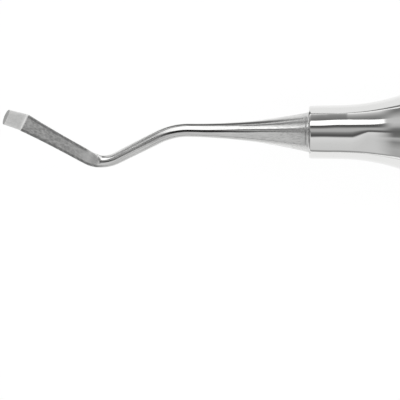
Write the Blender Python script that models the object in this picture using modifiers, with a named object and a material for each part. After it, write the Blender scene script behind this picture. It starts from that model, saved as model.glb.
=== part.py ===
# Double-ended surgical curette in stainless steel: a smooth hollow handle, with a bent working end
# seated by its tang in each of the two collars. The two ends are a mirror-image pair.
# Units are metres. X runs along the handle, the shanks' bends lie level in the XY plane, and Z is up.
# The instrument lies on Z = 0 with its middle over the origin.

import math

import bmesh
import bpy
from mathutils import Matrix, Vector

# Handle: collar, flare and barrel, the same at both ends
HANDLE_LENGTH = 0.1044
BARREL_DIAMETER = 0.0100
COLLAR_DIAMETER = 0.00636          # at the end face
COLLAR_LENGTH = 0.0038             # up to where the flare begins
COLLAR_TAPER = math.radians(1.0)   # the collar grows a little towards the flare
COLLAR_EDGE_ROUND = 0.00035
COLLAR_EDGE_SHARE = 0.75           # the rounded edge takes up at most this much of the mouth's wall
FLARE_SLOPE = math.radians(18.0)   # steepest slope, where the hollow arc meets the swelling one
FLARE_HOLLOW_SHARE = 0.665         # the hollow arc's share of the two arcs that make the flare
BARREL_WALL = 0.0009
BORE_CONE_SLOPE = math.radians(30.0)   # the drilled bore opens into the barrel at this slope

# Tang and cone, where a working end is seated in a collar
TANG_DIAMETER = 0.0030
TANG_LENGTH = 0.0120
TANG_CHAMFER = 0.0003
SEAT_GAP = 0.0003                  # all round what sits inside the collar
SPIGOT_LENGTH = 0.0012             # the cone's thick end reaches this far into the collar's mouth
CONE_DIAMETER = 0.0048             # at its thick end
CONE_HOLLOW = 1.95                 # power of the cone's hollow curve: 1 is a straight cone
BEAD_HEIGHT = 0.00006              # polished bead round the cone, just outside the collar
BEAD_LENGTH = 0.00036
BEAD_START = 0.00006

# Shank, from the collar outwards
SHANK_LEAN = math.radians(1.0)     # the first leg leaves the handle's line by this much
FIRST_LEG = 0.01440
FIRST_BEND_RADIUS = 0.0080
FIRST_BEND = math.radians(27.6)
SECOND_LEG = 0.00555
SECOND_BEND_RADIUS = 0.0037
SECOND_BEND = math.radians(55.4)
SHANK_DIAMETER = 0.00170           # where the cone runs out
SHANK_TIP_DIAMETER = 0.00144       # where the second bend begins

# Blade: flat face, rounded back
BLADE_LENGTH = 0.00860             # straight run between the second bend and the toe's bend
BLADE_RUN_IN = 0.0012              # past the second bend, until the section is the blade's own
BLADE_ROOT_WIDTH = 0.00172
BLADE_WIDTH = 0.00216              # at the toe's bend
BLADE_SPREAD = 2.5                 # power of the widening: 1 is straight, more keeps it to the toe
BLADE_THICKNESS = 0.00100
BLADE_EDGE = 0.00014               # height of the side below the flat face
FACE_SQUARENESS = 9.0              # power of the face's curve: 2 is round, more is flatter

# Toe, turned up towards the face
TOE_BEND_RADIUS = 0.0009
TOE_BEND = math.radians(50.0)
TOE_SKEW = math.radians(7.5)       # the plane of the toe's bend leans over by this much
TOE_LENGTH = 0.00255
TOE_WIDTH = 0.00188                # at the cutting edge
TOE_THICKNESS = 0.00048            # at the cutting edge

# Fineness of the surfaces
BARREL_SEGMENTS = 48
ARC_STEPS = 8
RING_POINTS = 28

BARREL_RADIUS = BARREL_DIAMETER / 2
BORE_RADIUS = TANG_DIAMETER / 2 + SEAT_GAP
BORE_DEPTH = TANG_LENGTH + SEAT_GAP
MOUTH_RADIUS = CONE_DIAMETER / 2 + SEAT_GAP
MOUTH_DEPTH = SPIGOT_LENGTH + SEAT_GAP
# A flat of the barrel faces down, so the axis lies this high above the table
AXIS_HEIGHT = BARREL_RADIUS * math.cos(math.pi / BARREL_SEGMENTS)


def clear_scene():
    for old in list(bpy.data.objects):
        bpy.data.objects.remove(old, do_unlink=True)


def steel(name, colour, roughness):
    """A bare stainless steel finish."""
    material = bpy.data.materials.new(name)
    material.use_nodes = True
    shader = material.node_tree.nodes["Principled BSDF"]
    shader.inputs["Base Color"].default_value = (*colour, 1.0)
    shader.inputs["Metallic"].default_value = 1.0
    shader.inputs["Roughness"].default_value = roughness
    return material


def arc_points(start, heading, radius, turn, steps=ARC_STEPS):
    """Points along an arc in (along, radial) that starts at a heading angle and turns by an angle.
    The first point is left out, because it ends the stretch before."""
    side = math.copysign(1.0, turn)
    points = []
    for i in range(1, steps + 1):
        now = heading + turn * i / steps
        points.append((start[0] + side * radius * (math.sin(now) - math.sin(heading)),
                       start[1] + side * radius * (math.cos(heading) - math.cos(now))))
    return points


def outer_profile():
    """The handle's outside from one end face to the middle of the barrel, as (depth, radius)."""
    face_radius = COLLAR_DIAMETER / 2
    edge = min(COLLAR_EDGE_ROUND, (face_radius - MOUTH_RADIUS) * COLLAR_EDGE_SHARE)
    corner = arc_points((0.0, face_radius - edge), math.pi / 2, edge, COLLAR_TAPER - math.pi / 2, 4)
    root = (COLLAR_LENGTH, face_radius + (COLLAR_LENGTH - edge) * math.tan(COLLAR_TAPER))
    rise = BARREL_RADIUS - root[1]
    hollow = math.cos(COLLAR_TAPER) - math.cos(FLARE_SLOPE)
    swell = 1.0 - math.cos(FLARE_SLOPE)
    radii = abs(rise) / (FLARE_HOLLOW_SHARE * hollow + (1.0 - FLARE_HOLLOW_SHARE) * swell)
    up = math.copysign(1.0, rise)
    lower = arc_points(root, COLLAR_TAPER * up, radii * FLARE_HOLLOW_SHARE,
                       (FLARE_SLOPE - COLLAR_TAPER) * up)
    upper = arc_points(lower[-1], FLARE_SLOPE * up, radii * (1.0 - FLARE_HOLLOW_SHARE),
                       -FLARE_SLOPE * up)
    return [(0.0, face_radius - edge), *corner, root, *lower, *upper]


def inner_profile():
    """The bore, from the same end face inwards: a mouth for the cone's thick end, a hole for the
    tang, then the hollow barrel."""
    barrel_bore = BARREL_RADIUS - BARREL_WALL
    cone = abs(barrel_bore - BORE_RADIUS) / math.tan(BORE_CONE_SLOPE)
    return [(0.0, MOUTH_RADIUS), (MOUTH_DEPTH, MOUTH_RADIUS), (MOUTH_DEPTH, BORE_RADIUS),
            (BORE_DEPTH, BORE_RADIUS), (BORE_DEPTH + cone, barrel_bore)]


def make_handle(collection, material):
    half = HANDLE_LENGTH / 2
    outer = [(radius, half - depth) for depth, radius in outer_profile()]
    inner = [(radius, half - depth) for depth, radius in inner_profile()]
    # Down the outside from the upper end face, then back up through the bore
    loop = outer
    loop = loop + [(radius, -height) for radius, height in reversed(outer)]
    loop = loop + [(radius, -height) for radius, height in inner]
    loop = loop + list(reversed(inner))
    mesh = bpy.data.meshes.new("handle")
    edges = [(i, (i + 1) % len(loop)) for i in range(len(loop))]
    mesh.from_pydata([(radius, 0.0, height) for radius, height in loop], edges, [])
    mesh.materials.append(material)
    handle = bpy.data.objects.new("handle", mesh)
    collection.objects.link(handle)
    screw = handle.modifiers.new("turned", "SCREW")
    screw.steps = BARREL_SEGMENTS
    screw.render_steps = BARREL_SEGMENTS
    screw.use_merge_vertices = True
    screw.merge_threshold = 0.00001
    screw.use_smooth_shade = True
    # Laid along X, and rolled half a facet so that a flat of the barrel faces the table
    handle.matrix_world = (Matrix.Translation((0.0, 0.0, AXIS_HEIGHT))
                           @ Matrix.Rotation(math.pi / 2, 4, "Y")
                           @ Matrix.Rotation(math.pi / BARREL_SEGMENTS, 4, "Z"))


def shank_runs():
    """Each run of the working end outside the collar, as (length, turn, side, steps). The side is
    the way a bend turns to: level across the shank, or up towards the face for the toe."""
    level = Vector((0.0, 1.0, 0.0))
    up = Vector((0.0, math.sin(TOE_SKEW), math.cos(TOE_SKEW)))
    return [(FIRST_LEG, 0.0, level, 14),
            (FIRST_BEND_RADIUS * FIRST_BEND, FIRST_BEND, level, 6),
            (SECOND_LEG, 0.0, level, 2),
            (SECOND_BEND_RADIUS * SECOND_BEND, -SECOND_BEND, level, 10),
            (BLADE_LENGTH, 0.0, level, 7),
            (TOE_BEND_RADIUS * TOE_BEND, TOE_BEND, up, ARC_STEPS),
            (TOE_LENGTH, 0.0, up, 3)]


def centreline(distance):
    """The place and the frame at a distance along the shank from the collar's end face.
    The frame's columns are the heading, the way across, and the way the face looks."""
    ahead = Vector((1.0, 0.0, 0.0))
    if distance <= 0.0:
        return ahead * distance, Matrix.Identity(3)
    place = Vector((0.0, 0.0, 0.0))
    frame = Matrix.Rotation(-SHANK_LEAN, 3, "Z")
    left = distance
    for length, turn, side, _ in shank_runs():
        step = min(left, length)
        if turn:
            radius = length / turn
            angle = step / radius
            place = place + frame @ (ahead * radius * math.sin(angle)
                                     + side * radius * (1.0 - math.cos(angle)))
            frame = frame @ Matrix.Rotation(angle, 3, ahead.cross(side))
        else:
            place = place + frame @ (ahead * step)
        left = left - step
        if left <= 0.0:
            break
    return place, frame


def smooth(share):
    share = min(max(share, 0.0), 1.0)
    return share * share * (3.0 - 2.0 * share)


def mix(first, second, share):
    return first + (second - first) * share


def round_section(radius):
    """A section as (half width, height of the face side, depth of the back, squareness)."""
    return (radius, radius, radius, 2.0)


def section(distance):
    """The section at a distance from the collar's end face: round up to the second bend, then
    blended through that bend into the blade's flat face and rounded back."""
    lengths = [run[0] for run in shank_runs()]
    bend_start = sum(lengths[:3])
    blade_start = sum(lengths[:4])
    toe_start = sum(lengths[:5])
    end = sum(lengths)
    if distance <= FIRST_LEG:
        share = max(1.0 - distance / FIRST_LEG, 0.0) ** CONE_HOLLOW
        return round_section(mix(SHANK_DIAMETER, CONE_DIAMETER, share) / 2)
    taper = min((distance - FIRST_LEG) / (bend_start - FIRST_LEG), 1.0)
    shank = round_section(mix(SHANK_DIAMETER, SHANK_TIP_DIAMETER, taper) / 2)
    if distance <= bend_start:
        return shank
    if distance <= toe_start:
        blade_share = max((distance - blade_start) / (toe_start - blade_start), 0.0)
        width = mix(BLADE_ROOT_WIDTH, BLADE_WIDTH, blade_share ** BLADE_SPREAD)
        thickness = BLADE_THICKNESS
    else:
        toe_share = (distance - toe_start) / (end - toe_start)
        width = mix(BLADE_WIDTH, TOE_WIDTH, toe_share)
        thickness = mix(BLADE_THICKNESS, TOE_THICKNESS, smooth(toe_share))
    blade = (width / 2, BLADE_EDGE, thickness - BLADE_EDGE, FACE_SQUARENESS)
    blend = smooth((distance - bend_start) / (blade_start + BLADE_RUN_IN - bend_start))
    return tuple(mix(a, b, blend) for a, b in zip(shank, blade))


def ring(distance, shape):
    """The points of one section: an ellipse on the back, a flattened curve on the face side, with
    the middle of its thickness on the centreline."""
    half_width, face_height, back_depth, squareness = shape
    place, frame = centreline(distance)
    middle = (back_depth - face_height) / 2
    points = []
    for i in range(RING_POINTS):
        angle = 2.0 * math.pi * i / RING_POINTS
        across = math.cos(angle)
        up = math.sin(angle)
        if i <= RING_POINTS // 2:
            power = 2.0 / squareness
            across = math.copysign(abs(across) ** power, across)
            height = face_height * max(up, 0.0) ** power
        else:
            height = back_depth * up
        points.append(place + frame @ Vector((0.0, half_width * across, middle + height)))
    return points


def tang_rings():
    """The tang and the cone's thick end inside the collar, and the bead just outside it."""
    tang = TANG_DIAMETER / 2
    spigot = CONE_DIAMETER / 2
    rings = [ring(-TANG_LENGTH, round_section(tang - TANG_CHAMFER)),
             ring(TANG_CHAMFER - TANG_LENGTH, round_section(tang)),
             ring(-SPIGOT_LENGTH, round_section(tang)),
             ring(-SPIGOT_LENGTH, round_section(spigot))]
    steps = 5
    for i in range(steps + 1):
        along = BEAD_START + BEAD_LENGTH * i / steps
        swell = BEAD_HEIGHT * math.sin(math.pi * i / steps)
        rings.append(ring(along, round_section(section(along)[0] + swell)))
    return rings


def working_end_mesh():
    """Tang, cone, shank, blade and toe as one lofted solid, heading along +X with its face up."""
    rings = tang_rings()
    bead_end = BEAD_START + BEAD_LENGTH
    start = 0.0
    for length, _, _, steps in shank_runs():
        for i in range(1, steps + 1):
            distance = start + length * i / steps
            if distance > bead_end * 1.2:
                rings.append(ring(distance, section(distance)))
        start = start + length
    shape = bmesh.new()
    loops = [[shape.verts.new(point) for point in points] for points in rings]
    for near, far in zip(loops, loops[1:]):
        for i in range(RING_POINTS):
            j = (i + 1) % RING_POINTS
            shape.faces.new((near[i], near[j], far[j], far[i]))
    shape.faces.new(list(reversed(loops[0])))
    shape.faces.new(loops[-1])
    mesh = bpy.data.meshes.new("working_end")
    shape.to_mesh(mesh)
    shape.free()
    mesh.shade_smooth()
    mesh.set_sharp_from_angle(angle=math.radians(35))
    return mesh


def make_working_ends(collection, material):
    mesh = working_end_mesh()
    mesh.materials.append(material)
    left = bpy.data.objects.new("working_end_left", mesh)
    collection.objects.link(left)
    left.matrix_world = (Matrix.Translation((-HANDLE_LENGTH / 2, 0.0, AXIS_HEIGHT))
                         @ Matrix.Rotation(math.pi, 4, "Z"))
    # The other end is the first one's mirror image, with its face looking down
    mirrored = mesh.copy()
    mirrored.transform(Matrix.Diagonal((1.0, 1.0, -1.0, 1.0)))
    mirrored.flip_normals()
    right = bpy.data.objects.new("working_end_right", mirrored)
    collection.objects.link(right)
    right.matrix_world = Matrix.Translation((HANDLE_LENGTH / 2, 0.0, AXIS_HEIGHT))


def main():
    clear_scene()
    collection = bpy.data.collections.new("surgical_curette")
    bpy.context.scene.collection.children.link(collection)
    make_handle(collection, steel("polished_stainless_steel", (0.72, 0.72, 0.72), 0.12))
    make_working_ends(collection, steel("satin_stainless_steel", (0.62, 0.62, 0.62), 0.28))


main()
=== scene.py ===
# Double-ended surgical curette: polished stainless handle, hand-polished shanks, ground satin blades.
# Metres, X along the handle, Z up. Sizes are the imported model's own; the handle's box is read from it.
import math

import bpy
import numpy as np
from mathutils import Matrix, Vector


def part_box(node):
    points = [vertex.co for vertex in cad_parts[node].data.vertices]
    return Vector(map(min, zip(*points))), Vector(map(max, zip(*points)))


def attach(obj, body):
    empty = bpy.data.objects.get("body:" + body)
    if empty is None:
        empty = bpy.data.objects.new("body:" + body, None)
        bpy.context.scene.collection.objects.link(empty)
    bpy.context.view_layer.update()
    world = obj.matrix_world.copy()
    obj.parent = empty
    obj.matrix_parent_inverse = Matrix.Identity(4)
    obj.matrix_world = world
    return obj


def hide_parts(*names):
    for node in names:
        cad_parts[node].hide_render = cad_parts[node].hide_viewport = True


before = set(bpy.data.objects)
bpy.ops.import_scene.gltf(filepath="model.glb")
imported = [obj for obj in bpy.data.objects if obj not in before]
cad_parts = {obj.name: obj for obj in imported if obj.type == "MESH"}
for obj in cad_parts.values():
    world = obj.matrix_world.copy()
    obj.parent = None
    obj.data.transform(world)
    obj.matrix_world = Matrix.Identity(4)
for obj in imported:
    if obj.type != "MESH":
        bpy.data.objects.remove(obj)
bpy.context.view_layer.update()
print("frame loaded:", len(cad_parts), "nodes")

mm = 0.001
rad = math.radians
sharpAngle = rad(40)     # edges that turn by more than this stay crisp

handleLow, handleHigh = (np.array(corner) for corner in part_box("handle"))
halfHandle = (handleHigh[0] - handleLow[0]) / 2      # the collars' end faces are at plus and minus this
axisHeight = (handleHigh[2] + handleLow[2]) / 2
barrelRadius = (handleHigh[2] - handleLow[2]) / 2


# meshes

def smoothStep(share):
    share = np.clip(share, 0.0, 1.0)
    return share * share * (3.0 - 2.0 * share)


def mix(first, second, share):
    return first + (second - first) * share


def gridMesh(name, points, closedAlong=False, capEnds=False):
    # points is rows x columns x 3. Columns close round on themselves; rows may close too, or end in
    # a fan to the middle of the first and last row. Faces look outwards if the columns run
    # anticlockwise when seen with the rows coming towards the viewer.
    rows, columns = points.shape[:2]
    count = rows * columns
    index = np.arange(count).reshape(rows, columns)
    near = index if closedAlong else index[:-1]
    far = np.roll(index, -1, axis=0) if closedAlong else index[1:]
    quads = np.stack([near, np.roll(near, -1, axis=1), np.roll(far, -1, axis=1), far], axis=-1)
    loops = [quads.reshape(-1)]
    sizes = [np.full(quads.shape[0] * columns, 4)]
    vertices = points.reshape(-1, 3)
    if capEnds:
        ends = np.stack([points[0].mean(axis=0), points[-1].mean(axis=0)])
        vertices = np.concatenate([vertices, ends])
        first, last = index[0], index[-1]
        startFan = np.stack([np.roll(first, -1), first, np.full(columns, count)], axis=-1)
        endFan = np.stack([last, np.roll(last, -1), np.full(columns, count + 1)], axis=-1)
        loops += [startFan.reshape(-1), endFan.reshape(-1)]
        sizes += [np.full(2 * columns, 3)]
    loops = np.concatenate(loops)
    sizes = np.concatenate(sizes)
    mesh = bpy.data.meshes.new(name)
    mesh.vertices.add(len(vertices))
    mesh.vertices.foreach_set("co", vertices.astype(np.float32).reshape(-1))
    mesh.loops.add(len(loops))
    mesh.loops.foreach_set("vertex_index", loops.astype(np.int32))
    mesh.polygons.add(len(sizes))
    mesh.polygons.foreach_set("loop_start", (np.cumsum(sizes) - sizes).astype(np.int32))
    mesh.update(calc_edges=True)
    mesh.validate()
    mesh.shade_smooth()
    return mesh


def setAttribute(mesh, name, values):
    # one number a vertex
    attribute = mesh.attributes.new(name, "FLOAT", "POINT")
    attribute.data.foreach_set("value", values.astype(np.float32))


def setPoints(mesh, name, values):
    # three numbers a vertex
    attribute = mesh.attributes.new(name, "FLOAT_VECTOR", "POINT")
    attribute.data.foreach_set("vector", values.astype(np.float32).reshape(-1))


def putIn(name, mesh, material, node):
    # a finished piece at the origin, riding on the one body and standing for its CAD node
    piece = bpy.data.objects.new(name, mesh)
    bpy.context.scene.collection.objects.link(piece)
    mesh.materials.append(material)
    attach(piece, "root")
    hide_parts(node)


# materials

def linearColour(code):
    # sRGB hex to linear
    parts = [int(code[i:i + 2], 16) / 255 for i in (1, 3, 5)]
    return tuple(c / 12.92 if c <= 0.04045 else ((c + 0.055) / 1.055) ** 2.4 for c in parts) + (1.0,)


def addNode(tree, kind, settings=None, links=None):
    # one node: settings are its properties and input values, links are its inputs' sources
    node = tree.nodes.new(kind)
    for key, value in (settings or {}).items():
        if isinstance(key, int) or key in node.inputs:
            node.inputs[key].default_value = value
        else:
            setattr(node, key, value)
    for key, source in (links or {}).items():
        tree.links.new(source, node.inputs[key])
    return node


def newMaterial(name):
    material = bpy.data.materials.new(name)
    material.use_nodes = True
    tree = material.node_tree
    shader = tree.nodes["Principled BSDF"]
    return material, tree, shader


# Handle: 18/8 stainless tube, swaged at the ends and buffed on a wheel to a mirror
handleLook = {
    "colour": "#E9E9E8",
    "metallic": 1.0,
    "roughness": 0.05,
    "hazeSize": 3.0 * mm,            # patches of finer and hazier polish: as their noise runs through
    "hazeSpan": (0.3, 0.7),          # this span, the roughness runs through so many times its value
    "hazeTimes": (0.6, 1.6),
    "buffLineSpacing": 0.16 * mm,    # fine lines along the handle, as the buffing wheel leaves them
    "buffLineRun": 9.0 * mm,
    "buffDepth": 0.0016 * mm,
    "buffStrength": 0.25,
    "waveLength": 6.0 * mm,          # slow waviness that buffing by hand leaves
    "waveAcross": 3.0 * mm,
    "waveDepth": 0.10 * mm,
}


def buffedStainless():
    # a mirror that is broken a little by lengthwise buffing lines: sharp bands with streaked greys
    look = handleLook
    material, tree, shader = newMaterial("buffed stainless steel, mirror")
    place = addNode(tree, "ShaderNodeTexCoord").outputs["Object"]
    finely = 1 / look["buffLineSpacing"]
    stretch = addNode(tree, "ShaderNodeMapping", {"Scale": (1 / look["buffLineRun"], finely, finely)},
                      {"Vector": place})
    lines = addNode(tree, "ShaderNodeTexNoise", {"Scale": 1.0, "Detail": 3.0, "Roughness": 0.6},
                    {"Vector": stretch.outputs[0]})
    haze = addNode(tree, "ShaderNodeTexNoise", {"Scale": 1 / look["hazeSize"], "Detail": 2.0},
                   {"Vector": place})
    rough = addNode(tree, "ShaderNodeMapRange",
                    {"From Min": look["hazeSpan"][0], "From Max": look["hazeSpan"][1],
                     "To Min": look["roughness"] * look["hazeTimes"][0],
                     "To Max": look["roughness"] * look["hazeTimes"][1]}, {"Value": haze.outputs[0]})
    around = 1 / look["waveAcross"]
    slow = addNode(tree, "ShaderNodeMapping", {"Scale": (1 / look["waveLength"], around, around)},
                   {"Vector": place})
    waves = addNode(tree, "ShaderNodeTexNoise", {"Scale": 1.0, "Detail": 1.0}, {"Vector": slow.outputs[0]})
    wavy = addNode(tree, "ShaderNodeBump", {"Strength": 1.0, "Distance": look["waveDepth"]},
                   {"Height": waves.outputs[0]})
    bump = addNode(tree, "ShaderNodeBump", {"Strength": look["buffStrength"], "Distance": look["buffDepth"]},
                   {"Height": lines.outputs[0], "Normal": wavy.outputs[0]})
    shader.inputs["Base Color"].default_value = linearColour(look["colour"])
    shader.inputs["Metallic"].default_value = look["metallic"]
    tree.links.new(rough.outputs[0], shader.inputs["Roughness"])
    tree.links.new(bump.outputs[0], shader.inputs["Normal"])
    return material


# Working end: hardened stainless rod, hand-polished lengthwise, with the blade ground to a satin
endLook = {
    "metallic": 1.0,
    "polishedColour": "#DEDEDD",
    "rubbedColour": "#E4E4E3",       # the second leg and the cone's root: rubbed down, not buffed
    "groundColour": "#E6E6E5",
    "streakColour": "#8A8A8A",       # where the polish has not reached
    # painted shade: the dark reflection line drawn along the shank and in the second bend
    "paintedDarkLineColour": "#4C4C4C",
    "speckColour": "#000000",
    # painted shade: the dark lines along the blade face's long edges and the toe's darker middle
    "paintedShadeColour": "#949494",
    # (millimetres from the collar, roughness): the cone is buffed, the thin shank polished, the
    # second leg only rubbed down lengthwise, and the blade is ground
    "roughness": [(0.0, 0.30), (1.5, 0.24), (5.0, 0.13), (8.0, 0.10), (15.5, 0.10), (18.5, 0.31),
                  (23.6, 0.31), (25.0, 0.12), (26.0, 0.10), (26.25, 0.44), (27.0, 0.42), (28.0, 0.36),
                  (50.0, 0.36)],
    # and how much the rubbed colour, the streaks and the specks of the grinding wheel's grain show
    "rubbed": [(0.0, 0.8), (1.5, 0.7), (5.0, 0.0), (16.0, 0.0), (18.5, 1.0), (24.5, 1.0), (26.0, 0.3),
               (50.0, 0.3)],
    "streaked": [(0.0, 0.35), (15.0, 0.25), (18.5, 0.7), (24.0, 0.7), (25.5, 0.0)],
    "grain": [(25.9, 0.0), (27.5, 0.2), (29.0, 0.7), (31.5, 1.0), (35.8, 1.0), (36.8, 0.1), (50.0, 0.1)],
    # painted shade: a dark line laid into the steel's colour along the shank and in the second bend, over the
    # dark reflection line where two polished flats meet: (millimetres from the collar, strength, its middle
    # in degrees from the top, half its width in degrees)
    "paintedDarkLine": [(6.0, 0.0, -1.0, 4.5), (9.5, 0.6, -1.0, 4.5), (11.5, 1.0, -1.0, 4.5),
               (16.5, 1.0, -1.0, 4.5), (18.0, 0.4, 1.0, 3.5), (22.5, 0.25, 1.0, 3.5),
               (24.4, 0.5, 0.0, 4.0), (25.0, 0.55, -2.0, 5.0), (25.7, 0.5, -6.0, 8.0),
               (25.95, 0.4, -8.0, 11.0), (26.1, 0.0, -8.0, 11.0)],
    "paintedDarkLineFade": 4.5,               # degrees
    "lineSpacing": 0.09 * mm,        # lengthwise polishing lines on the shank
    "lineRun": 4.0 * mm,
    "streakSpan": (0.42, 0.66),      # the lines' values from no streak to a full one
    "gritSize": 0.22 * mm,           # finer than this in life; drawn as coarse as it shows
    "gritRun": 0.42 * mm,            # drawn out along the blade, the way it was ground
    "gritSpan": (0.35, 0.65),        # the grain's values from clear steel to the darkest speck
    "gritShade": 0.42,               # how much darker that speck is
    "bumpStrength": 0.35,
    "bumpDepth": 0.004 * mm,
    "groundStart": -1.6 * mm,        # from the end of the second bend
    "groundFade": 0.7 * mm,
    "rimWidth": 0.204 * mm,          # painted dark lines along the face's long edges, fading over as much again
    "rimStart": (-3.0 * mm, 0.1 * mm),         # outside and inside of the bend, from its end
    "rimFade": (2.0 * mm, 0.7 * mm),
    "rimOnToe": 0.2 * mm,            # they run this far onto the toe
    "rimUneven": (0.55, 1.15),       # times their strength, over the grain's span
    "toeShade": 0.22,                # painted shade: the middle of the toe's face is a little darker than its rims
    "toeShadeStart": 0.8 * mm,
    "toeShadeFade": 0.4 * mm,
    "toeShadeFromEdge": 0.5 * mm,
}


def polishedAndGroundStainless():
    # bright streaked shank that turns into an even grey blade with a fine grain
    look = endLook
    material, tree, shader = newMaterial("hand-polished stainless steel with a ground blade")
    along = addNode(tree, "ShaderNodeAttribute", {"attribute_name": "along"}).outputs["Vector"]
    ground, rough, rubbed, streaked, grain, paintedDarkLine, paintedShade = (
        addNode(tree, "ShaderNodeAttribute", {"attribute_name": name}).outputs["Fac"]
        for name in ("ground", "roughness", "rubbed", "streaked", "grain", "paintedDarkLine", "paintedShade"))
    finely = 1 / look["lineSpacing"]
    stretch = addNode(tree, "ShaderNodeMapping", {"Scale": (1 / look["lineRun"], finely, finely)},
                      {"Vector": along})
    lines = addNode(tree, "ShaderNodeTexNoise", {"Scale": 1.0, "Detail": 3.0, "Roughness": 0.6},
                    {"Vector": stretch.outputs[0]})
    finely = 1 / look["gritSize"]
    drawnOut = addNode(tree, "ShaderNodeMapping", {"Scale": (1 / look["gritRun"], finely, finely)},
                       {"Vector": along})
    grit = addNode(tree, "ShaderNodeTexNoise", {"Scale": 1.0, "Detail": 3.0, "Roughness": 0.65},
                   {"Vector": drawnOut.outputs[0]})
    height = addNode(tree, "ShaderNodeMix", {"data_type": "FLOAT"},
                     {0: ground, 2: lines.outputs[0], 3: grit.outputs[0]})
    bump = addNode(tree, "ShaderNodeBump", {"Strength": look["bumpStrength"], "Distance": look["bumpDepth"]},
                   {"Height": height.outputs[0]})
    # streaks run along the shank, specks lie on the ground face, and the painted dark lines along its edges
    # are as uneven
    streak = addNode(tree, "ShaderNodeMapRange",
                     {"From Min": look["streakSpan"][0], "From Max": look["streakSpan"][1]},
                     {"Value": lines.outputs[0]})
    speck, uneven = (
        addNode(tree, "ShaderNodeMapRange", {"From Min": look["gritSpan"][0], "From Max": look["gritSpan"][1],
                                             "To Min": low, "To Max": high}, {"Value": grit.outputs[0]})
        for low, high in ((0.0, look["gritShade"]), look["rimUneven"]))
    streak, speck, paintedShade = (
        addNode(tree, "ShaderNodeMath", {"operation": "MULTIPLY", "use_clamp": True},
                {0: pattern.outputs[0], 1: amount}).outputs[0]
        for pattern, amount in ((streak, streaked), (speck, grain), (uneven, paintedShade)))
    # the colours lie over one another, each by its own share; the dark crease line and the darker rims are
    # painted shade
    tint = addNode(tree, "ShaderNodeMix", {"data_type": "RGBA", 6: linearColour(look["polishedColour"]),
                                           7: linearColour(look["rubbedColour"])}, {0: rubbed})
    for name, share in (("groundColour", ground), ("streakColour", streak), ("paintedDarkLineColour", paintedDarkLine),
                        ("speckColour", speck), ("paintedShadeColour", paintedShade)):
        tint = addNode(tree, "ShaderNodeMix", {"data_type": "RGBA", 7: linearColour(look[name])},
                       {0: share, 6: tint.outputs[2]})
    shader.inputs["Metallic"].default_value = look["metallic"]
    tree.links.new(tint.outputs[2], shader.inputs["Base Color"])
    tree.links.new(rough, shader.inputs["Roughness"])
    tree.links.new(bump.outputs[0], shader.inputs["Normal"])
    return material


# the handle

handleForm = {
    "collarDiameter": 6.36 * mm,
    "collarLength": 3.8 * mm,
    "collarTaper": rad(1.0),         # the collar widens a little towards the flare
    "edgeRound": 0.42 * mm,
    "edgeTurn": rad(42.5),           # the rounding stops here and meets the end face in a crisp edge
    "edgeSteps": 10,
    "flareSlope": rad(18.0),
    "hollowShare": 0.665,            # of the flare's curve; the rest of it swells into the barrel
    "flareSteps": 40,                # for each of the two
    "wall": 0.9 * mm,
    "tangDiameter": 3.0 * mm,
    "tangLength": 12.0 * mm,
    "coneDiameter": 4.8 * mm,
    "spigotLength": 1.2 * mm,        # how far the cone's thick end reaches into the collar
    "boreGap": 0.3 * mm,
    "mouthGap": 0.03 * mm,           # the hairline seen where a working end enters its collar
    "boreConeSlope": rad(30.0),
    "columns": 240,
}


def arcPoints(start, heading, radius, turn, steps):
    # a circle's arc that starts at a heading and turns by an angle, without its first point
    now = heading + turn * np.arange(1, steps + 1) / steps
    side = math.copysign(1.0, turn)
    return np.stack([start[0] + side * radius * (np.sin(now) - math.sin(heading)),
                     start[1] + side * radius * (math.cos(heading) - np.cos(now))], axis=-1)


def handleProfile():
    # outside and bore as (depth from the collar's end face, radius), each from that face to the middle
    form = handleForm
    faceRadius = form["collarDiameter"] / 2
    edge = form["edgeRound"]
    gap = form["boreGap"]
    steep = form["edgeTurn"]
    deep = edge * (math.sin(steep) - math.sin(form["collarTaper"]))
    start = (0.0, faceRadius - edge * (math.cos(form["collarTaper"]) - math.cos(steep)))
    corner = arcPoints(start, steep, edge, form["collarTaper"] - steep, form["edgeSteps"])
    root = np.array([[form["collarLength"],
                      faceRadius + (form["collarLength"] - deep) * math.tan(form["collarTaper"])]])
    rise = barrelRadius - root[0, 1]
    share = form["hollowShare"]
    hollow = math.cos(form["collarTaper"]) - math.cos(form["flareSlope"])
    swell = 1.0 - math.cos(form["flareSlope"])
    radii = rise / (share * hollow + (1.0 - share) * swell)
    lower = arcPoints(root[0], form["collarTaper"], radii * share,
                      form["flareSlope"] - form["collarTaper"], form["flareSteps"])
    upper = arcPoints(lower[-1], form["flareSlope"], radii * (1.0 - share), -form["flareSlope"],
                      form["flareSteps"])
    outside = np.concatenate([[start], corner, root, lower, upper])
    mouthRadius = form["coneDiameter"] / 2 + form["mouthGap"]
    boreRadius = form["tangDiameter"] / 2 + gap
    hollowRadius = barrelRadius - form["wall"]
    cone = (hollowRadius - boreRadius) / math.tan(form["boreConeSlope"])
    inside = np.array([[0.0, mouthRadius], [form["spigotLength"] + gap, mouthRadius],
                       [form["spigotLength"] + gap, boreRadius], [form["tangLength"] + gap, boreRadius],
                       [form["tangLength"] + gap + cone, hollowRadius]])
    return outside, inside


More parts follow.
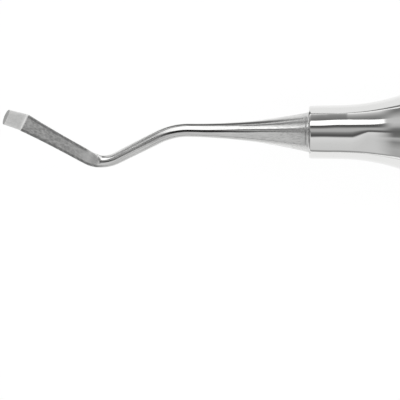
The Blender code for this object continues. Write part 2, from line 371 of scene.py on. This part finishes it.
def makeHandle(material):
    # the profile turned about the handle's axis: x = distance along, y and z = radius times cosine and sine
    outside, inside = handleProfile()
    outLeft = np.stack([outside[:, 0] - halfHandle, outside[:, 1]], axis=-1)
    inLeft = np.stack([inside[:, 0] - halfHandle, inside[:, 1]], axis=-1)
    turnedRound = np.array([-1.0, 1.0])
    loop = np.concatenate([outLeft, (outLeft * turnedRound)[::-1], inLeft * turnedRound, inLeft[::-1]])
    angle = np.linspace(0.0, 2 * math.pi, handleForm["columns"], endpoint=False)
    points = np.stack([np.broadcast_to(loop[:, :1], (len(loop), len(angle))),
                       loop[:, 1:] * np.cos(angle),
                       axisHeight + loop[:, 1:] * np.sin(angle)], axis=-1)
    mesh = gridMesh("buffed_handle", points, closedAlong=True)
    mesh.set_sharp_from_angle(angle=sharpAngle)
    putIn("buffed_handle", mesh, material, "handle")


# the working ends

endForm = {
    "tangDiameter": handleForm["tangDiameter"],
    "tangLength": handleForm["tangLength"],
    "coneDiameter": handleForm["coneDiameter"],
    "spigotLength": handleForm["spigotLength"],
    "lean": rad(1.0),                # of the whole end, away from the handle's axis
    "firstLeg": 14.40 * mm,
    "firstBendRadius": 8.0 * mm,
    "firstBend": rad(27.6),
    "secondLeg": 5.55 * mm,
    "secondBendRadius": 3.7 * mm,
    "secondBend": rad(55.4),
    "shankDiameter": 1.70 * mm,
    "shankTipDiameter": 1.44 * mm,
    "coneHollow": 1.95,              # power of the cone's hollow side; 1 would be a straight cone
    "tangChamfer": 0.3 * mm,
    "beadStart": 0.06 * mm,          # the small bright shoulder at the cone's root
    "beadLength": 0.36 * mm,
    "beadHeight": 0.02 * mm,
    "beadRows": 17,
    "bladeLength": 8.60 * mm,
    "bladeRunIn": 1.2 * mm,          # past the second bend, where the round back has its full form
    "faceStart": 1.85 * mm,          # the shank stays round this far into the second bend
    "faceRunIn": -0.1 * mm,          # and its face is flat this far before the bend's end
    "bladeRootWidth": 1.72 * mm,
    "bladeWidth": 2.16 * mm,
    "bladeSpread": 2.5,              # power by which the blade widens towards its toe
    "bladeThickness": 1.00 * mm,
    "bladeEdge": 0.14 * mm,          # height of the face over the blade's widest line
    "faceSquareness": 9.0,           # 2 is round; the more, the flatter the face and the crisper its edges
    "toeBendRadius": 0.9 * mm,
    "toeBend": rad(50.0),
    "toeSkew": rad(7.5),             # the toe is folded up a little askew to the blade
    "toeLength": 2.55 * mm,
    "toeWidth": 1.88 * mm,
    "toeThickness": 0.48 * mm,
    "cuttingEdgeRound": 0.03 * mm,
    # soft flats that hand polishing leaves along the cone and shank and in the second bend, as
    # (millimetres from the collar, middle in degrees from the top, half its span in degrees)
    "flats": [[(0.4, 26.5, 0.0), (1.2, 26.5, 6.5), (2.3, 26.5, 8.5), (5.0, 26.5, 9.5),
               (8.0, 27.0, 10.5), (12.5, 25.5, 20.0), (16.0, 25.5, 20.0), (19.0, 25.5, 0.0)],
              [(9.0, -4.5, 0.0), (12.5, -4.5, 10.0), (16.5, -4.5, 10.0), (18.5, -4.5, 0.0)],
              [(0.6, 50.0, 0.0), (5.0, 50.0, 7.0), (8.0, 50.0, 8.0), (12.0, 51.0, 9.5),
               (16.0, 51.0, 9.5), (18.5, 50.0, 0.0)],
              [(24.3, 22.5, 0.0), (25.2, 22.5, 11.5), (26.0, 22.5, 11.5), (26.4, 22.5, 0.0)]],
    "flatCrispness": 160.0,          # the more, the sharper a flat meets the round
    "flatComesIn": rad(6.0),         # below this half span a flat is only coming in
    "columns": 160,
    "rowSpacing": 0.09 * mm,
}


def alongShank(rows, distances):
    # a table's columns at these distances; its first column is in millimetres from the collar
    table = np.array(rows)
    return [np.interp(distances / mm, table[:, 0], column) for column in table.T[1:]]


def shankRuns():
    # (length, turn, the side a bend turns to): level across the shank, or up towards the face
    form = endForm
    level = np.array([0.0, 1.0, 0.0])
    up = np.array([0.0, math.sin(form["toeSkew"]), math.cos(form["toeSkew"])])
    return [(form["firstLeg"], 0.0, level),
            (form["firstBendRadius"] * form["firstBend"], form["firstBend"], level),
            (form["secondLeg"], 0.0, level),
            (form["secondBendRadius"] * form["secondBend"], -form["secondBend"], level),
            (form["bladeLength"], 0.0, level),
            (form["toeBendRadius"] * form["toeBend"], form["toeBend"], up),
            (form["toeLength"], 0.0, up)]


def turnAbout(axis, angles):
    # rotation matrices by Rodrigues' rule: the identity, plus sine times the axis's cross matrix,
    # plus one less cosine times its square
    cross = np.array([[0, -axis[2], axis[1]], [axis[2], 0, -axis[0]], [-axis[1], axis[0], 0]])
    sine = np.sin(angles)[:, None, None]
    rest = (1.0 - np.cos(angles))[:, None, None]
    return np.eye(3) + sine * cross + rest * (cross @ cross)


def centreline(distances):
    # places and frames (columns: heading, across, face) along straight legs and arcs
    ahead = np.array([1.0, 0.0, 0.0])
    places = np.outer(distances, ahead)
    frames = np.tile(np.eye(3), (len(distances), 1, 1))
    place = np.zeros(3)
    turned = turnAbout(np.array([0.0, 0.0, 1.0]), np.array([-endForm["lean"]]))[0]
    start = 0.0
    for length, turn, side in shankRuns():
        here = (distances > start) & (distances <= start + length + 1e-9)      # a hair for rounding
        step = np.append(distances[here] - start, length)
        if turn:
            radius = length / turn
            angle = step / radius
            offset = np.outer(radius * np.sin(angle), ahead) + np.outer(radius * (1 - np.cos(angle)), side)
            spin = turnAbout(np.cross(ahead, side), angle)
        else:
            offset = np.outer(step, ahead)
            spin = np.tile(np.eye(3), (len(step), 1, 1))
        reached = place + offset @ turned.T
        places[here] = reached[:-1]
        frames[here] = turned @ spin[:-1]
        place = reached[-1]
        turned = turned @ spin[-1]
        start += length
    return places, frames


def sections(distances):
    # half width, height of the face side, depth of the back and squareness of the face, one a row
    form = endForm
    lengths = np.array([run[0] for run in shankRuns()])
    bendStart, bladeStart, toeStart, end = (lengths[:n].sum() for n in (3, 4, 5, 7))
    share = np.clip(1.0 - np.maximum(distances, 0.0) / form["firstLeg"], 0.0, 1.0) ** form["coneHollow"]
    taper = np.clip((distances - form["firstLeg"]) / (bendStart - form["firstLeg"]), 0.0, 1.0)
    radius = np.where(distances <= form["firstLeg"],
                      mix(form["shankDiameter"], form["coneDiameter"], share) / 2,
                      mix(form["shankDiameter"], form["shankTipDiameter"], taper) / 2)
    bladeShare = np.clip((distances - bladeStart) / (toeStart - bladeStart), 0.0, 1.0)
    toeShare = np.clip((distances - toeStart) / (end - toeStart), 0.0, 1.0)
    bladeWidth = mix(form["bladeRootWidth"], form["bladeWidth"], bladeShare ** form["bladeSpread"])
    toeWidth = mix(form["bladeWidth"], form["toeWidth"], toeShare)
    width = np.where(distances <= toeStart, bladeWidth, toeWidth)
    thickness = mix(form["bladeThickness"], form["toeThickness"], smoothStep(toeShare))
    blend = smoothStep((distances - bendStart) / (bladeStart + form["bladeRunIn"] - bendStart))
    faceStart = bendStart + form["faceStart"]
    face = smoothStep((distances - faceStart) / (bladeStart + form["faceRunIn"] - faceStart))
    edge = form["bladeEdge"]
    return (mix(radius, width / 2, blend), mix(radius, edge, face), mix(radius, thickness - edge, blend),
            mix(2.0, form["faceSquareness"], face))


def endRows():
    # distances and section shapes of all rows, from the tang's tip to the cutting edge
    form = endForm
    tang = form["tangDiameter"] / 2
    spigot = form["coneDiameter"] / 2
    chamfer = form["tangChamfer"]
    inner = np.array([[-form["tangLength"], tang - chamfer], [chamfer - form["tangLength"], tang],
                      [-form["spigotLength"], tang], [-form["spigotLength"], spigot], [0.0, spigot]])
    beadEnd = form["beadStart"] + form["beadLength"]
    bead = np.linspace(form["beadStart"], beadEnd, form["beadRows"])
    end = sum(run[0] for run in shankRuns())
    shank = np.linspace(beadEnd, end, int((end - beadEnd) / form["rowSpacing"]))[1:]
    outer = np.concatenate([bead, shank])
    halfWidth, faceHeight, backDepth, squareness = sections(outer)
    beadShare = np.clip((outer - form["beadStart"]) / form["beadLength"], 0, 1)
    swell = form["beadHeight"] * np.sin(math.pi * beadShare)
    rounds = np.repeat(inner[:, 1:], 3, axis=1)
    shapes = np.concatenate([np.column_stack([rounds, np.full(len(inner), 2.0)]),
                             np.column_stack([halfWidth + swell, faceHeight + swell, backDepth + swell,
                                              squareness])])
    # the cutting edge is rounded over by a hair before the flat end face
    over = form["cuttingEdgeRound"]
    last = shapes[-1] - np.array([over, over, over, 0.0])
    return np.append(np.concatenate([inner[:, 0], outer]), end), np.vstack([shapes, last])


def endPoints():
    # each row is an ellipse on the back and a flattened curve, |x|^n + |y|^n = 1, on the face side
    distances, shapes = endRows()
    places, frames = centreline(distances)
    angle = np.linspace(0.0, 2 * math.pi, endForm["columns"], endpoint=False)
    cosine, sine = np.cos(angle), np.sin(angle)
    halfWidth, faceHeight, backDepth, squareness = (shapes[:, i:i + 1] for i in range(4))
    power = np.where(sine >= 0, 2.0 / squareness, 1.0)
    across = halfWidth * np.sign(cosine) * np.abs(cosine) ** power
    height = np.where(sine >= 0, faceHeight * np.abs(sine) ** power, -backDepth * np.abs(sine))
    # a flat: the radius goes down to cos(half span) / cos(angle from its middle), where that is less
    # than 1, and the two meet softly, as 1 / (1 + ratio^p)^(1/p)
    crisp = endForm["flatCrispness"]
    for rows in endForm["flats"]:
        middle, span = (np.radians(column)[:, None] for column in alongShank(rows, distances))
        ratio = np.maximum(np.cos(angle - math.pi / 2 - middle), 0.0) / np.cos(span)
        cut = mix(1.0, (1.0 + ratio ** crisp) ** (-1.0 / crisp), smoothStep(span / endForm["flatComesIn"]))
        across = across * cut
        height = height * cut
    height = height + (backDepth - faceHeight) / 2
    points = (places[:, None] + across[..., None] * frames[:, None, :, 1]
              + height[..., None] * frames[:, None, :, 2])
    flat = np.stack([np.broadcast_to(distances[:, None], across.shape), across, height], axis=-1)
    return points, flat, distances


def dressEnd(mesh, flat, distances):
    # what the material reads: a value for each point of each row, then for the middles of both caps
    look = endLook
    lengths = np.array([run[0] for run in shankRuns()])
    bendEnd, toeStart = lengths[:4].sum(), lengths[:5].sum()
    capMiddles = np.stack([flat[0].mean(axis=0), flat[-1].mean(axis=0)])
    setPoints(mesh, "along", np.concatenate([flat.reshape(-1, 3), capMiddles]))
    levels = {"ground": smoothStep((distances - bendEnd - look["groundStart"]) / look["groundFade"])}
    for name in ("roughness", "rubbed", "streaked", "grain"):
        levels[name] = alongShank(look[name], distances)[0]
    for name, level in levels.items():
        setAttribute(mesh, name, np.append(np.repeat(level, endForm["columns"]), level[[0, -1]]))
    # the painted dark line: its strength along the shank, times 1 within its width and 0 past its fade
    strength, middle, half = (column[:, None] for column in alongShank(look["paintedDarkLine"], distances))
    fromTop = np.linspace(-90.0, 270.0, endForm["columns"], endpoint=False)
    paintedDarkLine = strength * (1.0 - smoothStep((np.abs(fromTop - middle) - half) / look["paintedDarkLineFade"]))
    setAttribute(mesh, "paintedDarkLine", np.append(paintedDarkLine.reshape(-1), [0.0, 0.0]))
    # the painted shade: dark lines by how near the face's long edges a point is, and the darker middle of the
    # toe inside them
    across = np.abs(flat[..., 1])
    fromEdge = np.max(across, axis=1)[:, None] - across
    paintedShade = 1.0 - smoothStep((fromEdge - look["rimWidth"]) / look["rimWidth"])
    rimStart, rimFade = (np.where(flat[..., 1] > 0.0, *look[name]) for name in ("rimStart", "rimFade"))
    paintedShade = paintedShade * smoothStep((distances[:, None] - bendEnd - rimStart) / rimFade)
    paintedShade = paintedShade * (distances < toeStart + look["rimOnToe"])[:, None]
    onToe = smoothStep((distances - toeStart - look["toeShadeStart"]) / look["toeShadeFade"])[:, None]
    paintedShade = paintedShade + look["toeShade"] * onToe * smoothStep(fromEdge / look["toeShadeFromEdge"])
    setAttribute(mesh, "paintedShade", np.append(paintedShade.reshape(-1), [0.0, 0.0]))


def makeWorkingEnd(pieceName, material, node, mirrored):
    # the left end heads along -X with its face up; the right end is its mirror image, face down
    points, flat, distances = endPoints()
    sides = np.array([1.0, 1.0, -1.0]) if mirrored else np.array([-1.0, -1.0, 1.0])
    middle = np.array([halfHandle if mirrored else -halfHandle, 0.0, axisHeight])
    mesh = gridMesh(pieceName, points * sides + middle, capEnds=True)
    if mirrored:
        mesh.flip_normals()
    dressEnd(mesh, flat, distances)
    mesh.set_sharp_from_angle(angle=sharpAngle)
    putIn(pieceName, mesh, material, node)


# studio

cameraPlace = {
    "lens": 400.0,
    "sensor": 36.0,
    "frameWidth": 48.0 * mm,         # what the photograph's 400 pixels span at the handle's axis
    "fromCollar": (-13.12 * mm, -8.14 * mm),   # the picture's middle, from the left collar's end face
    "tiltAlong": rad(3.0),           # from straight above, towards the handle
    "tiltAcross": rad(4.0),          # and towards the upper edge of the picture
    "nearest": 0.01,                 # clipping
    "farthest": 50.0,
}


def cameraBack():
    # from the picture's middle towards the camera
    back = np.array([math.sin(cameraPlace["tiltAlong"]), math.sin(cameraPlace["tiltAcross"]), 0.0])
    back[2] = math.sqrt(1.0 - back[0] ** 2 - back[1] ** 2)
    return back


studioLook = {
    "floorSize": 4.0,
    "floorColour": "#FFFFFF",
    "floorGlow": 0.93,
    "floorShade": "#606060",
    # the table away from the instrument is darker on its upper side and a little on its lower one,
    # seen only in the steel
    "cardFrom": (7 * mm, 11 * mm),
    "cardTo": (600 * mm, 800 * mm),
    "cardDark": 0.94,
    "lowerCardDark": 0.40,
    "cardSides": 1 * mm,             # one side turns into the other over this much either way
    "cardEnd": (-10 * mm, -4 * mm),  # from the collar's end face, where it grows paler
    "cardPaler": 0.90,
    "cardTip": (-44 * mm, -26 * mm),
    # and lit more strongly round the working end, between these distances from the collar
    "litPatch": 0.26,
    "litPatchEnd": (-7 * mm, -3 * mm),
    "litPatchTip": (-60 * mm, -46 * mm),
    "reach": 100.0,                  # the tables below cover this many degrees either way
    # sky by the angle round the handle, in degrees from straight up towards the upper edge of the
    # picture, as a level rod mirrors it: (angle, brightness)
    "bands": [(-92, 0.36), (-83, 0.36), (-79, 0.68), (-50, 0.71), (-23, 0.80), (-19.5, 0.55), (-15.5, 0.13),
              (-10, 0.09), (-5, 0.14), (-1, 0.20), (3, 0.29), (6, 0.44), (14, 0.50), (18, 0.44),
              (22, 0.18), (26, 0.09), (32.5, 0.09), (34, 1.5), (55.5, 1.5), (57, 0.18), (65, 0.21),
              (70, 0.24), (76, 0.27), (81, 0.31), (86, 0.40), (89, 0.66), (92, 0.88)],
    # over the strip the studio is paler where the steel leans to the tip: by so many times, growing
    # and ending between these sky angles, and coming on between these leans (degrees, below 0 to the tip)
    "paleTimes": 1.2,
    "paleFrom": (54.0, 85.0),
    "paleTo": (86.0, 92.0),
    "paleLean": (-1.05, -1.7),
    # the dark gap's lower edge draws up towards gapTop as the steel leans to the tip: to this share of
    # its width, between these leans
    "gapTop": 14.0,
    "gapFoot": -79.0,
    "gapShare": 0.36,
    "gapLean": (-8.5, -3.0),
    # and the strip's upper edge draws down: above its foot the bands are squeezed so much, up to the
    # hold, where they wait
    "stripFoot": 33.0,
    "stripHold": 65.0,
    "stripSqueeze": 1.45,
    "stripLean": (-11.0, -2.5),
    # where the strip light ends towards the tip, told by the lean of the steel that mirrors it
    "stripEnd": (-13.0, -11.8),
    "bandsEnd": (-15.5, -10.0),      # the other bands change more softly
    "stripOver": 0.95,               # brighter than this is the strip
    "bandsBeyond": [(-92, 0.34), (-86, 0.34), (-80, 0.44), (-55, 0.46), (-40, 0.36), (-30, 0.26),
                    (-24, 0.40), (-18, 0.50), (-12, 0.20), (-4, 0.16), (6, 0.14), (14, 0.20), (22, 0.50),
                    (32, 0.62), (48, 0.60), (60, 0.42), (74, 0.22), (84, 0.20), (92, 0.34)],
    "farTip": (-24.0, -16.0),        # and past this the studio is darker
    "farDark": 0.20,
    # the pale side of the studio towards the handle, by the same lean, and where it ends
    "handleSide": [(3, 1.0), (10, 1.12), (24, 1.12), (31, 0.95), (45, 0.88)],
    "handleSideFrom": (3.0, 9.0),
    "handleSideEnd": (-38.0, -24.0),
}


def skyShare(degrees):
    # where an angle lies in the tables, from 0 to 1
    return (degrees + studioLook["reach"]) / (2 * studioLook["reach"])


def bandLevels(tree, bands, share):
    # brightness along the bands, as a curve with straight pieces
    top = max(level for _, level in bands)
    node = addNode(tree, "ShaderNodeFloatCurve", None, {"Value": share})
    curve = node.mapping.curves[0]
    curve.points[0].location = (0.0, bands[0][1] / top)
    curve.points[1].location = (1.0, bands[-1][1] / top)
    for degrees, level in bands:
        curve.points.new(skyShare(degrees), level / top)
    for point in curve.points:
        point.handle_type = "VECTOR"
    node.mapping.update()
    bright = addNode(tree, "ShaderNodeMath", {"operation": "MULTIPLY", 1: top}, {0: node.outputs[0]})
    return bright.outputs[0]


def drawnShare(tree, share, lean):
    # where the bands are read, so that the strip and the gap narrow as the steel leans to the tip
    look = studioLook
    squeeze, width = (
        addNode(tree, "ShaderNodeMapRange", {"From Min": rad(low), "From Max": rad(high),
                                             "To Min": narrow, "To Max": 1.0}, {"Value": lean}).outputs[0]
        for (low, high), narrow in ((look["stripLean"], look["stripSqueeze"]),
                                    (look["gapLean"], look["gapShare"])))
    # the strip: foot plus (share less foot) x squeeze, but never below the share itself, and the hold
    # is passed only by the share
    foot = skyShare(look["stripFoot"])
    hold = skyShare(look["stripHold"])
    raised = addNode(tree, "ShaderNodeMath", {"operation": "SUBTRACT", 1: foot}, {0: share})
    raised = addNode(tree, "ShaderNodeMath", {"operation": "MULTIPLY_ADD", 2: foot},
                     {0: raised.outputs[0], 1: squeeze})
    raised = addNode(tree, "ShaderNodeMath", {"operation": "MINIMUM", 1: hold}, {0: raised.outputs[0]})
    raised = addNode(tree, "ShaderNodeMath", {"operation": "MAXIMUM"}, {0: raised.outputs[0], 1: share})
    # the gap: top less (top less share) / width, but never above the share itself nor below its foot
    gapTop = skyShare(look["gapTop"])
    gapFoot = skyShare(look["gapFoot"])
    below = addNode(tree, "ShaderNodeMath", {"operation": "SUBTRACT", 0: gapTop}, {1: raised.outputs[0]})
    below = addNode(tree, "ShaderNodeMath", {"operation": "DIVIDE"}, {0: below.outputs[0], 1: width})
    drawn = addNode(tree, "ShaderNodeMath", {"operation": "SUBTRACT", 0: gapTop}, {1: below.outputs[0]})
    drawn = addNode(tree, "ShaderNodeMath", {"operation": "MAXIMUM", 1: gapFoot}, {0: drawn.outputs[0]})
    drawn = addNode(tree, "ShaderNodeMath", {"operation": "MINIMUM"},
                    {0: drawn.outputs[0], 1: raised.outputs[0]})
    return drawn.outputs[0]


def studioSky():
    # a strip light, a dark gap with the camera overhead and pale walls, as bands that run along X
    look = studioLook
    world = bpy.data.worlds.new("studio")
    bpy.context.scene.world = world
    world.use_nodes = True
    tree = world.node_tree
    background = tree.nodes["Background"]
    way = addNode(tree, "ShaderNodeTexCoord").outputs["Generated"]
    # halfway between a ray's way and the camera's is the direction of the steel that mirrors it, so
    # the lamps' ends follow the round pieces: both angles are taken there
    half = addNode(tree, "ShaderNodeVectorMath", {"operation": "ADD", 1: tuple(cameraBack())}, {0: way})
    half = addNode(tree, "ShaderNodeVectorMath", {"operation": "NORMALIZE"}, {0: half.outputs[0]})
    parts = addNode(tree, "ShaderNodeSeparateXYZ", None, {0: half.outputs[0]})
    angle = addNode(tree, "ShaderNodeMath", {"operation": "ARCTAN2"},
                    {0: parts.outputs["Y"], 1: parts.outputs["Z"]}).outputs[0]
    lean = addNode(tree, "ShaderNodeMath", {"operation": "ARCSINE"}, {0: parts.outputs["X"]}).outputs[0]
    # a ray turns twice as far as the steel, so half the reach of its angle covers the tables
    tilt = cameraPlace["tiltAcross"] / 2
    reach = rad(look["reach"])
    share, leanShare = (
        addNode(tree, "ShaderNodeMapRange", {"From Min": low, "From Max": high}, {"Value": turn}).outputs[0]
        for turn, low, high in ((angle, tilt - reach / 2, tilt + reach / 2), (lean, -reach, reach)))
    # smooth steps between two leans of the steel
    stripInside, bandsInside, beforeTip, leaning, besideHandle = (
        addNode(tree, "ShaderNodeMapRange", {"interpolation_type": "SMOOTHSTEP",
                                             "From Min": rad(look[name][0]),
                                             "From Max": rad(look[name][1])}, {"Value": lean}).outputs[0]
        for name in ("stripEnd", "bandsEnd", "farTip", "paleLean", "handleSideFrom"))
    level = bandLevels(tree, look["bands"], drawnShare(tree, share, lean))
    # paler over the strip: 1 plus growing x ending x leaning
    growing, ending = (
        addNode(tree, "ShaderNodeMapRange", {"From Min": skyShare(low), "From Max": skyShare(high),
                                             "To Min": start, "To Max": stop}, {"Value": share})
        for (low, high), start, stop in ((look["paleFrom"], 0.0, look["paleTimes"]),
                                         (look["paleTo"], 1.0, 0.0)))
    paler = addNode(tree, "ShaderNodeMath", {"operation": "MULTIPLY"},
                    {0: growing.outputs[0], 1: ending.outputs[0]})
    paler = addNode(tree, "ShaderNodeMath", {"operation": "MULTIPLY_ADD", 2: 1.0},
                    {0: paler.outputs[0], 1: leaning})
    level = addNode(tree, "ShaderNodeMath", {"operation": "MULTIPLY"},
                    {0: level, 1: paler.outputs[0]}).outputs[0]
    # towards the tip the strip ends, then the studio grows dark
    onStrip = addNode(tree, "ShaderNodeMath", {"operation": "GREATER_THAN", 1: look["stripOver"]},
                      {0: level})
    inside = addNode(tree, "ShaderNodeMix", {"data_type": "FLOAT"},
                     {0: onStrip.outputs[0], 2: bandsInside, 3: stripInside})
    beyond = addNode(tree, "ShaderNodeMix", {"data_type": "FLOAT", 2: look["farDark"]},
                     {0: beforeTip, 3: bandLevels(tree, look["bandsBeyond"], share)})
    sky = addNode(tree, "ShaderNodeMix", {"data_type": "FLOAT"},
                  {0: inside.outputs[0], 2: beyond.outputs[0], 3: level})
    # towards the handle a pale side, down to where the bands' lower part begins
    low, high = (rad(end) / 2 + tilt for end in look["handleSideEnd"])
    above = addNode(tree, "ShaderNodeMapRange",
                    {"interpolation_type": "SMOOTHSTEP", "From Min": low, "From Max": high},
                    {"Value": angle})
    pale = addNode(tree, "ShaderNodeMath", {"operation": "MULTIPLY"},
                   {0: besideHandle, 1: above.outputs[0]})
    sky = addNode(tree, "ShaderNodeMix", {"data_type": "FLOAT"},
                  {0: pale.outputs[0], 2: sky.outputs[0], 3: bandLevels(tree, look["handleSide"], leanShare)})
    camera = addNode(tree, "ShaderNodeLightPath").outputs["Is Camera Ray"]
    shown = addNode(tree, "ShaderNodeMix", {"data_type": "FLOAT", 3: 1.0}, {0: camera, 2: sky.outputs[0]})
    tree.links.new(shown.outputs[0], background.inputs["Strength"])
    background.inputs["Color"].default_value = (1.0, 1.0, 1.0, 1.0)


def studioFloor():
    # a large white table; its glow is seen by the camera and in the steel, and its shade keeps the shadow
    look = studioLook
    half = look["floorSize"] / 2
    corners = [(-half, -half, 0), (half, -half, 0), (half, half, 0), (-half, half, 0)]
    mesh = bpy.data.meshes.new("table")
    mesh.from_pydata(corners, [], [(0, 1, 2, 3)])
    floor = bpy.data.objects.new("table", mesh)
    bpy.context.scene.collection.objects.link(floor)
    material = bpy.data.materials.new("white studio table")
    material.use_nodes = True
    tree = material.node_tree
    tree.nodes.clear()
    rays = addNode(tree, "ShaderNodeLightPath")
    inSteel = rays.outputs["Is Glossy Ray"]
    place = addNode(tree, "ShaderNodeTexCoord").outputs["Object"]
    parts = addNode(tree, "ShaderNodeSeparateXYZ", None, {0: place})
    across = parts.outputs["Y"]
    away = addNode(tree, "ShaderNodeMath", {"operation": "ABSOLUTE"}, {0: across}).outputs[0]
    nearEdge, farEdge, side = (
        addNode(tree, "ShaderNodeMapRange", {"From Min": low, "From Max": high, "To Min": start,
                                             "To Max": stop}, {"Value": distance}).outputs[0]
        for distance, (low, high), start, stop in (
            (away, look["cardFrom"], 0.0, 1.0), (away, look["cardTo"], 1.0, 0.0),
            (across, (-look["cardSides"], look["cardSides"]), look["lowerCardDark"], look["cardDark"])))
    # and along the table, by the distance from the left collar's end face
    cardEnd, cardTip, patch, patchTip = (
        addNode(tree, "ShaderNodeMapRange", {"From Min": low - halfHandle, "From Max": high - halfHandle,
                                             "To Min": start, "To Max": stop},
                {"Value": parts.outputs["X"]}).outputs[0]
        for (low, high), start, stop in ((look["cardEnd"], 1.0, 1.0 - look["cardPaler"]),
                                         (look["cardTip"], 0.0, 1.0),
                                         (look["litPatchEnd"], look["litPatch"], 0.0),
                                         (look["litPatchTip"], 0.0, 1.0)))
    card = nearEdge
    for factor in (farEdge, cardEnd, cardTip, side, inSteel):
        card = addNode(tree, "ShaderNodeMath", {"operation": "MULTIPLY"}, {0: card, 1: factor}).outputs[0]
    glow = addNode(tree, "ShaderNodeMapRange", {"To Min": look["floorGlow"], "To Max": 0.0}, {"Value": card})
    patch = addNode(tree, "ShaderNodeMath", {"operation": "MULTIPLY"}, {0: patch, 1: patchTip})
    patch = addNode(tree, "ShaderNodeMath", {"operation": "MULTIPLY_ADD", 2: 1.0},
                    {0: patch.outputs[0], 1: inSteel})
    seen = addNode(tree, "ShaderNodeMath", {"operation": "MAXIMUM"},
                   {0: rays.outputs["Is Camera Ray"], 1: inSteel})
    strength = glow.outputs[0]
    for factor in (patch.outputs[0], seen.outputs[0]):
        strength = addNode(tree, "ShaderNodeMath", {"operation": "MULTIPLY"},
                           {0: strength, 1: factor}).outputs[0]
    light = addNode(tree, "ShaderNodeEmission", {"Color": linearColour(look["floorColour"])},
                    {"Strength": strength})
    shade = addNode(tree, "ShaderNodeBsdfDiffuse", {"Color": linearColour(look["floorShade"])})
    both = addNode(tree, "ShaderNodeAddShader", None, {0: light.outputs[0], 1: shade.outputs[0]})
    addNode(tree, "ShaderNodeOutputMaterial", None, {"Surface": both.outputs[0]})
    mesh.materials.append(material)


def addCamera():
    look = cameraPlace
    data = bpy.data.cameras.new("camera")
    data.lens = look["lens"]
    data.sensor_width = look["sensor"]
    data.clip_start = look["nearest"]
    data.clip_end = look["farthest"]
    camera = bpy.data.objects.new("camera", data)
    bpy.context.scene.collection.objects.link(camera)
    bpy.context.scene.camera = camera
    away = look["frameWidth"] * look["lens"] / look["sensor"]
    target = np.array([-halfHandle + look["fromCollar"][0], look["fromCollar"][1], axisHeight])
    back = cameraBack()
    # the handle stays level in the picture
    up = np.array([0.0, back[2], -back[1]])
    up /= np.linalg.norm(up)
    right = np.cross(up, back)
    turned = np.column_stack([right, up, back])
    matrix = np.eye(4)
    matrix[:3, :3] = turned
    matrix[:3, 3] = target + back * away
    camera.matrix_world = Matrix(matrix.tolist())


addCamera()
studioSky()
studioFloor()
print("studio ready")
makeHandle(buffedStainless())
print("handle ready")
endSteel = polishedAndGroundStainless()
makeWorkingEnd("polished_end_left", endSteel, "working_end_left", False)
makeWorkingEnd("polished_end_right", endSteel, "working_end_right", True)
print("working ends ready")

bpy.context.scene.view_settings.view_transform = "Standard"
